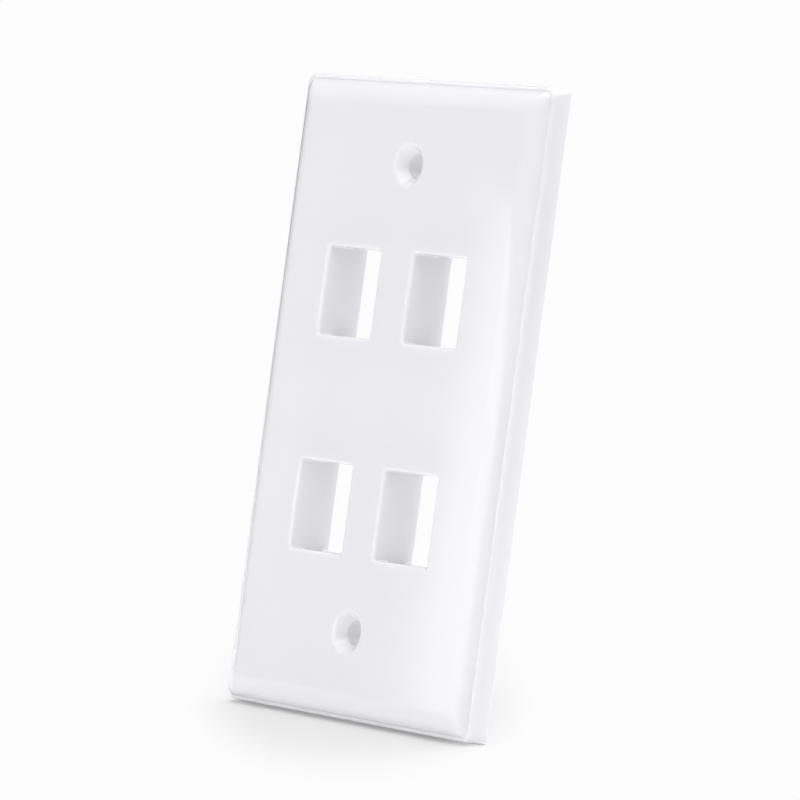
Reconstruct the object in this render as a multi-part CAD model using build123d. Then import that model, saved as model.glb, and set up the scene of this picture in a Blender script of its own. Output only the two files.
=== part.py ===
from build123d import *
import math
import os

# All sizes are millimetres. The plate stands upright as it hangs on a wall: X to the right,
# Z up, and the face looks along -Y. The plane Y = 0 is the back rim that meets the wall.

# Single-gang outline
plate_width = 69.85
plate_height = 114.3
plate_depth = 6.0
rim_corner_radius = 0.5
front_corner_radius = 2.2

# Shell
skin_thickness = 2.0
rim_wall_thickness = 1.8
cavity_corner_radius = 1.0

# Bead along the front of the side wall, and the crease between it and the roll
bead_depth = 3.95
bead_outer_round = 0.5
bead_land = 0.2
bead_inner_round = 0.1
crease_wall = 0.04

# Roll from the crease to the flat face: one arc that runs out level with the face
roll_width = 4.0
roll_section_count = 7

# Mounting holes for oval-head screws, the same distance from either end of the plate
screw_inset = 15.48
screw_hole_diameter = 4.4
countersink_diameter = 7.8
countersink_angle = 82.0
countersink_lip_round = 0.8
boss_diameter = 8.0

# Keystone ports
port_width = 14.9
port_height = 16.0
port_depth = 8.85
port_corner_radius = 0.4
port_lip_round = 0.6
port_pitch_across = 24.3
port_pitch_up = 38.6
port_columns = 2
port_rows = 2

# Frame behind each port: the fixed hook of a jack sits below, its flexing latch above
frame_wall = 1.4
catch_thickness = 1.6
hook_reach = 2.0
hook_pocket_length = 4.0
latch_reach = 4.1
latch_pocket_length = 1.6
latch_overhang = 1.3
catch_lead_in = 0.7

# Extra length by which a cutting tool passes the surface it opens
overcut = 1.0

# Derived places. A depth is measured from the rim plane towards the room.
cavity_depth = plate_depth - skin_thickness
frame_back = plate_depth - port_depth
bead_width = bead_outer_round + bead_land + bead_inner_round
crease_drop = bead_inner_round + crease_wall
crease_depth = bead_depth - crease_drop
crease_corner_radius = front_corner_radius - bead_width
roll_slope_at_crease = 2 * math.atan((plate_depth - crease_depth) / roll_width)
roll_radius = roll_width / math.sin(roll_slope_at_crease)
screw_spacing = plate_height - 2 * screw_inset
opening_drop = (latch_reach - hook_reach) / 2


def at_depth(depth):
    """Drawing plane parallel to the wall, the given distance in front of the rim."""
    return Plane.XZ.offset(depth)


def outline(inset, radius, depth):
    """Rounded rectangle of the plate, drawn in from the side wall by the inset."""
    width = plate_width - 2 * inset
    height = plate_height - 2 * inset
    return at_depth(depth) * RectangleRounded(width, height, radius)


def block(left, bottom, width, height, back, front):
    """Straight block between two depths, placed by its lower left corner."""
    centre = Pos(left + width / 2, bottom + height / 2)
    return extrude(at_depth(back) * centre * Rectangle(width, height), front - back)


def rolled_front():
    """Convex roll, lofted through outlines of the plate up to the flat face."""
    sections = []
    for index in range(roll_section_count):
        slope = roll_slope_at_crease * (1 - index / (roll_section_count - 1))
        inset = bead_width + roll_width - roll_radius * math.sin(slope)
        depth = plate_depth - roll_radius * (1 - math.cos(slope))
        sections.append(outline(inset, crease_corner_radius, depth))
    return loft(sections)


def outer_body():
    """Side wall whose corners soften towards the front, its bead, and the rolled front."""
    wall = loft([outline(0, rim_corner_radius, 0), outline(0, front_corner_radius, bead_depth)],
                ruled=True)
    wall -= extrude(outline(bead_width, crease_corner_radius, crease_depth), crease_drop + overcut)
    bead = wall.faces().filter_by(Axis.Y).sort_by(Axis.Y)[0]
    wall = fillet(bead.inner_wires()[0].edges(), bead_inner_round)
    bead = wall.faces().filter_by(Axis.Y).sort_by(Axis.Y)[0]
    wall = fillet(bead.outer_wire().edges(), bead_outer_round)
    return wall + rolled_front()


def cavity():
    """Hollow behind the skin; its sloped edge keeps the roll as thick as the skin."""
    mean_slope = roll_slope_at_crease / 2
    rise_to_wall = (rim_wall_thickness - bead_width) * math.tan(mean_slope)
    depth_at_wall = crease_depth - skin_thickness / math.cos(mean_slope) + rise_to_wall
    inset_at_skin = rim_wall_thickness + (cavity_depth - depth_at_wall) / math.tan(mean_slope)
    straight = extrude(
        outline(rim_wall_thickness, cavity_corner_radius, -overcut), depth_at_wall + overcut)
    mouth = outline(rim_wall_thickness, cavity_corner_radius, depth_at_wall)
    floor = outline(inset_at_skin, cavity_corner_radius, cavity_depth)
    return straight + loft([mouth, floor], ruled=True)


def frame_body(x, z):
    """Walls of one port frame, solid; x and z are the middle of the port opening."""
    left = x - port_width / 2 - frame_wall
    width = port_width + 2 * frame_wall
    into_skin = cavity_depth + skin_thickness / 2
    sleeve = block(left, z - port_height / 2 - frame_wall, width,
                   port_height + 2 * frame_wall, frame_back, into_skin)
    below = port_height / 2 + hook_reach + frame_wall
    hook_box = block(left, z - below, width, below, frame_back, into_skin)
    above = port_height / 2 + latch_reach + frame_wall
    latch_front = frame_back + catch_thickness + latch_pocket_length + frame_wall
    latch_box = block(left, z, width, above, frame_back, latch_front)
    return sleeve + hook_box + latch_box


def port_cut(x, z):
    """Everything removed for one port: the opening, both pockets and the rear mouth."""
    opening = extrude(
        at_depth(frame_back - overcut) * Pos(x, z)
        * RectangleRounded(port_width, port_height, port_corner_radius),
        port_depth + 2 * overcut)
    left = x - port_width / 2
    pocket_back = frame_back + catch_thickness
    hook_front = pocket_back + hook_pocket_length
    latch_front = pocket_back + latch_pocket_length
    below = port_height / 2 + hook_reach
    above = port_height / 2 + latch_reach
    hook_pocket = block(left, z - below, port_width, below, pocket_back, hook_front)
    latch_pocket = block(left, z, port_width, above, pocket_back, latch_front)
    mouth_top = above - latch_overhang
    mouth = block(left, z, port_width, mouth_top, frame_back - overcut, latch_front)
    ramp = Plane.YZ.offset(left) * make_face(Polyline(
        (-frame_back, z + mouth_top),
        (-frame_back, z + mouth_top + catch_lead_in),
        (-frame_back - catch_lead_in, z + mouth_top),
        close=True))
    return opening + hook_pocket + latch_pocket + mouth + extrude(ramp, port_width)


def screw_boss(z):
    """Tube behind the skin that carries a mounting screw down to the rim plane."""
    return extrude(at_depth(0) * Pos(0, z) * Circle(boss_diameter / 2), cavity_depth)


def screw_cut(z):
    """Clearance hole with its countersink, turned about the screw's axis."""
    hole_radius = screw_hole_diameter / 2
    sink_radius = countersink_diameter / 2
    sink_depth = (sink_radius - hole_radius) / math.tan(math.radians(countersink_angle / 2))
    section = Plane.XY.offset(z) * make_face(Polyline(
        (0, overcut),
        (hole_radius, overcut),
        (hole_radius, sink_depth - plate_depth),
        (sink_radius, -plate_depth),
        (0, -plate_depth),
        close=True))
    return revolve(section, Axis((0, 0, z), (0, 1, 0)))


def port_centres():
    """Middle of each port opening; the frames, not the openings, are centred on the plate."""
    places = []
    for column in range(port_columns):
        for row in range(port_rows):
            x = (column - (port_columns - 1) / 2) * port_pitch_across
            z = (row - (port_rows - 1) / 2) * port_pitch_up - opening_drop
            places.append((x, z))
    return places


def opening_edges(body, has_straight_sides):
    """Front edges of the ports, which have straight sides, or of the screw holes."""
    face = body.faces().filter_by(Axis.Y).sort_by(Axis.Y)[0]
    rings = [ring for ring in face.inner_wires()
             if bool(ring.edges().filter_by(GeomType.LINE)) == has_straight_sides]
    return [edge for ring in rings for edge in ring.edges()]


def faceplate():
    """The whole moulding, with every opening's front edge rounded over."""
    screw_heights = (-screw_spacing / 2, screw_spacing / 2)
    body = outer_body() - cavity()
    for z in screw_heights:
        body += screw_boss(z)
    for x, z in port_centres():
        body += frame_body(x, z)
    for z in screw_heights:
        body -= screw_cut(z)
    for x, z in port_centres():
        body -= port_cut(x, z)
    body = fillet(opening_edges(body, has_straight_sides=True), port_lip_round)
    return fillet(opening_edges(body, has_straight_sides=False), countersink_lip_round)


os.makedirs("parts", exist_ok=True)
export_step(faceplate(), "parts/faceplate.step")
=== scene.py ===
import math

import bpy
from mathutils import Matrix, Vector


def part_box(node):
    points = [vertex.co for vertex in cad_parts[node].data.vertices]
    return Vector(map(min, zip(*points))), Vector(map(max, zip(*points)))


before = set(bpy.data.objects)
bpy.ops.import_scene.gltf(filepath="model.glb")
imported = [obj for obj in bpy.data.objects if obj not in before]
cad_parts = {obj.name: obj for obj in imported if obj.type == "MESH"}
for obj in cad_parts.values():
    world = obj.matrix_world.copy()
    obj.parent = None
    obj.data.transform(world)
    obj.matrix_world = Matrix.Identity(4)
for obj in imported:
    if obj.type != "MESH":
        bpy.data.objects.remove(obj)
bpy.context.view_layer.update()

# The plate stands upright in its own frame: X right, Z up, the face looks along -Y.
# Lengths are metres and angles are degrees unless a name says otherwise.
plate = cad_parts["faceplate"]
plate_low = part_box("faceplate")[0]

# Camera: its azimuth turns from the face towards +X, its distance is from the middle of the
# plate's back rim, and across and up shift it within its own picture plane
camera_azimuth = 51.387
camera_elevation = -0.357
camera_roll = 7.531
camera_distance = 1.085916
camera_across = -0.000727
camera_up = 0.000290
camera_nearest = 0.01
camera_farthest = 20
focal_pixels = 6119.4
image_pixels = 800
sensor_width_mm = 36.0

# Lamps: each rectangle faces the plate from its azimuth and elevation. A brightness of 1 is
# white. A rise lifts the lamp, and a turn rolls it in its own plane.
lamps = (
    dict(name="key", azimuth=-14, elevation=0, distance=0.40,
         width=0.572, height=0.36, brightness=1.525, rise=-0.144, turn=-4.5),
    dict(name="overhead", azimuth=0, elevation=92, distance=0.60,
         width=0.70, height=0.60, brightness=2.16),
    dict(name="upper_left", azimuth=-58, elevation=21, distance=0.60,
         width=0.25, height=0.24, brightness=0.334),
    dict(name="upper_right", azimuth=34, elevation=54, distance=0.60,
         width=0.32, height=0.32, brightness=2.00),
    dict(name="behind", azimuth=180, elevation=40, distance=0.80,
         width=0.70, height=0.40, brightness=1.60),
)
lamp_watts_per_area_at_white = 4

# Light from all round: it grows from dim on the plate's left to bright on its right
world_bright_side = (1.0, 0.0, 0.01)
world_bright = 0.73
world_dim = 0.003

# The camera sees the world as this plain white, and the far floor too
background_white = 0.983

# The photographed plate leans back on its lower rear edge, so the floor is tilted against it
floor_tilt = 9.62
floor_size = 3.0
floor_white = (0.93, 0.93, 0.93)
# The lamps make a white floor brighter than white, so the camera sees this colour instead
floor_seen = (0.72, 0.72, 0.72)

# Share of plain white over the lit floor: it grows from the plate to the end of an oval pool,
# whose long axis points at the camera and whose middle lies behind the plate
white_share_near = 0.27
white_share_far = 1.0
pool_across = 0.035
pool_along = 0.145
pool_behind = 0.053
pool_fade_start = 0.6

# Moulded plastic: the share of light that goes into the skin, and how far it spreads there
plastic_color = (0.774, 0.769, 0.799)
plastic_roughness = 0.08
plastic_ior = 1.5
plastic_translucency = 0.5
plastic_scatter = 0.0034

# Very faint flow marks, which vary colour and gloss, and a very faint orange peel
flow_scale = 35
flow_detail = 3
flow_tint = 0.008
flow_gloss = 0.01
peel_scale = 900
peel_detail = 2
peel_strength = 0.06
peel_height = 0.00002


def direction(azimuth, elevation):
    """Unit vector from the plate, azimuth turning from the face's normal towards +X."""
    a = math.radians(azimuth)
    e = math.radians(elevation)
    return Vector((math.sin(a) * math.cos(e), -math.cos(a) * math.cos(e), math.sin(e)))


def add_camera():
    """Long-lens camera at the photograph's viewing angle."""
    back = direction(camera_azimuth, camera_elevation)
    a = math.radians(camera_azimuth)
    right = Vector((math.cos(a), math.sin(a), 0))
    up = back.cross(right)
    roll = math.radians(camera_roll)
    image_right = right * math.cos(roll) + up * math.sin(roll)
    image_up = up * math.cos(roll) - right * math.sin(roll)
    place = back * camera_distance + right * camera_across + up * camera_up
    data = bpy.data.cameras.new("camera")
    data.sensor_width = sensor_width_mm
    data.lens = focal_pixels * sensor_width_mm / image_pixels
    data.clip_start = camera_nearest
    data.clip_end = camera_farthest
    camera = bpy.data.objects.new("camera", data)
    turn = Matrix((image_right, image_up, back)).transposed().to_4x4()
    camera.matrix_world = Matrix.Translation(place) @ turn
    bpy.context.scene.collection.objects.link(camera)
    bpy.context.scene.camera = camera


def add_softbox(name, azimuth, elevation, distance, width, height, brightness,
                rise=0, turn=0):
    """Rectangular area light that faces the plate."""
    data = bpy.data.lights.new(name, "AREA")
    data.shape = "RECTANGLE"
    data.size = width
    data.size_y = height
    data.energy = brightness * lamp_watts_per_area_at_white * width * height
    lamp = bpy.data.objects.new(name, data)
    away = direction(azimuth, elevation)
    lamp.location = away * distance + Vector((0, 0, rise))
    facing = away.to_track_quat("Z", "Y").to_matrix()
    lamp.rotation_euler = (facing @ Matrix.Rotation(math.radians(turn), 3, "Z")).to_euler()
    bpy.context.scene.collection.objects.link(lamp)


def world_level(tree):
    """Strength of the world's light in each direction, growing towards its bright side."""
    look = tree.nodes.new("ShaderNodeTexCoord")
    side = tree.nodes.new("ShaderNodeVectorMath")
    side.operation = "DOT_PRODUCT"
    side.inputs[1].default_value = Vector(world_bright_side).normalized()
    level = tree.nodes.new("ShaderNodeMapRange")
    level.inputs["From Min"].default_value = -1.0
    level.inputs["From Max"].default_value = 1.0
    level.inputs["To Min"].default_value = world_dim
    level.inputs["To Max"].default_value = world_bright
    tree.links.new(look.outputs["Generated"], side.inputs[0])
    tree.links.new(side.outputs["Value"], level.inputs["Value"])
    return level.outputs["Result"]


def add_world():
    """Studio world: its light falls on the object, and the camera sees plain white."""
    world = bpy.data.worlds.new("studio")
    world.use_nodes = True
    tree = world.node_tree
    tree.nodes.clear()
    output = tree.nodes.new("ShaderNodeOutputWorld")
    seen = tree.nodes.new("ShaderNodeBackground")
    seen.inputs["Color"].default_value = (1, 1, 1, 1)
    seen.inputs["Strength"].default_value = background_white
    light = tree.nodes.new("ShaderNodeBackground")
    light.inputs["Color"].default_value = (1, 1, 1, 1)
    path = tree.nodes.new("ShaderNodeLightPath")
    mix = tree.nodes.new("ShaderNodeMixShader")
    tree.links.new(world_level(tree), light.inputs["Strength"])
    tree.links.new(path.outputs["Is Camera Ray"], mix.inputs["Fac"])
    tree.links.new(light.outputs["Background"], mix.inputs[1])
    tree.links.new(seen.outputs["Background"], mix.inputs[2])
    tree.links.new(mix.outputs["Shader"], output.inputs["Surface"])
    bpy.context.scene.world = world


def new_material(name):
    """Empty node material with its output node."""
    material = bpy.data.materials.new(name)
    material.use_nodes = True
    tree = material.node_tree
    tree.nodes.clear()
    return material, tree, tree.nodes.new("ShaderNodeOutputMaterial")


def white_share(tree):
    """Share of plain white at each place of the floor, least within the oval pool."""
    place = tree.nodes.new("ShaderNodeTexCoord")
    middle = tree.nodes.new("ShaderNodeVectorMath")
    middle.operation = "SUBTRACT"
    middle.inputs[1].default_value = (0, pool_behind, 0)
    pool = tree.nodes.new("ShaderNodeVectorMath")
    pool.operation = "DIVIDE"
    pool.inputs[1].default_value = (pool_across, pool_along, 1)
    length = tree.nodes.new("ShaderNodeVectorMath")
    length.operation = "LENGTH"
    fade = tree.nodes.new("ShaderNodeMapRange")
    fade.interpolation_type = "SMOOTHSTEP"
    fade.inputs["From Min"].default_value = pool_fade_start
    fade.inputs["From Max"].default_value = 1.0
    fade.inputs["To Min"].default_value = white_share_near
    fade.inputs["To Max"].default_value = white_share_far
    tree.links.new(place.outputs["Object"], middle.inputs[0])
    tree.links.new(middle.outputs["Vector"], pool.inputs[0])
    tree.links.new(pool.outputs["Vector"], length.inputs[0])
    tree.links.new(length.outputs["Value"], fade.inputs["Value"])
    return fade.outputs["Result"]


def floor_material():
    """White floor; the camera sees the plate's shadow near it and plain white further out."""
    material, tree, output = new_material("floor_white")
    path = tree.nodes.new("ShaderNodeLightPath")
    color = tree.nodes.new("ShaderNodeMixRGB")
    color.inputs["Color1"].default_value = (*floor_white, 1)
    color.inputs["Color2"].default_value = (*floor_seen, 1)
    lit = tree.nodes.new("ShaderNodeBsdfDiffuse")
    plain = tree.nodes.new("ShaderNodeEmission")
    plain.inputs["Color"].default_value = (1, 1, 1, 1)
    plain.inputs["Strength"].default_value = background_white
    seen_share = tree.nodes.new("ShaderNodeMath")
    seen_share.operation = "MULTIPLY"
    mix = tree.nodes.new("ShaderNodeMixShader")
    tree.links.new(path.outputs["Is Camera Ray"], color.inputs["Fac"])
    tree.links.new(color.outputs["Color"], lit.inputs["Color"])
    tree.links.new(white_share(tree), seen_share.inputs[0])
    tree.links.new(path.outputs["Is Camera Ray"], seen_share.inputs[1])
    tree.links.new(seen_share.outputs["Value"], mix.inputs["Fac"])
    tree.links.new(lit.outputs["BSDF"], mix.inputs[1])
    tree.links.new(plain.outputs["Emission"], mix.inputs[2])
    tree.links.new(mix.outputs["Shader"], output.inputs["Surface"])
    return material


def add_floor():
    """Plain floor through the plate's lower rear edge."""
    half = floor_size / 2
    mesh = bpy.data.meshes.new("floor")
    corners = [(-half, -half, 0), (half, -half, 0), (half, half, 0), (-half, half, 0)]
    mesh.from_pydata(corners, [], [(0, 1, 2, 3)])
    mesh.materials.append(floor_material())
    floor = bpy.data.objects.new("floor", mesh)
    floor.location = (0, 0, plate_low[2])
    tilt = Matrix.Rotation(math.radians(floor_tilt), 3, "X")
    towards_camera = Matrix.Rotation(math.radians(camera_azimuth), 3, "Z")
    floor.rotation_euler = (tilt @ towards_camera).to_euler()
    bpy.context.scene.collection.objects.link(floor)


def noise(tree, scale, detail):
    """Noise pattern fixed to the plate."""
    place = tree.nodes.new("ShaderNodeTexCoord")
    pattern = tree.nodes.new("ShaderNodeTexNoise")
    pattern.inputs["Scale"].default_value = scale
    pattern.inputs["Detail"].default_value = detail
    tree.links.new(place.outputs["Object"], pattern.inputs["Vector"])
    return pattern.outputs["Fac"]


def plastic_material():
    """White moulded thermoplastic with a semi-gloss, slightly translucent skin."""
    material, tree, output = new_material("moulded_white")
    shader = tree.nodes.new("ShaderNodeBsdfPrincipled")
    shader.inputs["IOR"].default_value = plastic_ior
    shader.inputs["Subsurface Weight"].default_value = plastic_translucency
    shader.inputs["Subsurface Scale"].default_value = plastic_scatter
    shader.inputs["Subsurface Radius"].default_value = (1, 1, 1)
    flow = noise(tree, flow_scale, flow_detail)
    tint = tree.nodes.new("ShaderNodeMixRGB")
    tint.inputs["Color1"].default_value = (*[c * (1 - flow_tint) for c in plastic_color], 1)
    tint.inputs["Color2"].default_value = (*[c * (1 + flow_tint) for c in plastic_color], 1)
    gloss = tree.nodes.new("ShaderNodeMapRange")
    gloss.inputs["To Min"].default_value = plastic_roughness - flow_gloss
    gloss.inputs["To Max"].default_value = plastic_roughness + flow_gloss
    bump = tree.nodes.new("ShaderNodeBump")
    bump.inputs["Strength"].default_value = peel_strength
    bump.inputs["Distance"].default_value = peel_height
    tree.links.new(flow, tint.inputs["Fac"])
    tree.links.new(flow, gloss.inputs["Value"])
    tree.links.new(tint.outputs["Color"], shader.inputs["Base Color"])
    tree.links.new(gloss.outputs["Result"], shader.inputs["Roughness"])
    tree.links.new(noise(tree, peel_scale, peel_detail), bump.inputs["Height"])
    tree.links.new(bump.outputs["Normal"], shader.inputs["Normal"])
    tree.links.new(shader.outputs["BSDF"], output.inputs["Surface"])
    return material


def dress_plate():
    """The CAD solid keeps its shape and gets the plastic in its own slot."""
    for slot in plate.material_slots:
        slot.material = plastic_material()


bpy.context.scene.view_settings.view_transform = "Standard"
add_camera()
add_world()
add_floor()
dress_plate()
for lamp in lamps:
    add_softbox(**lamp)
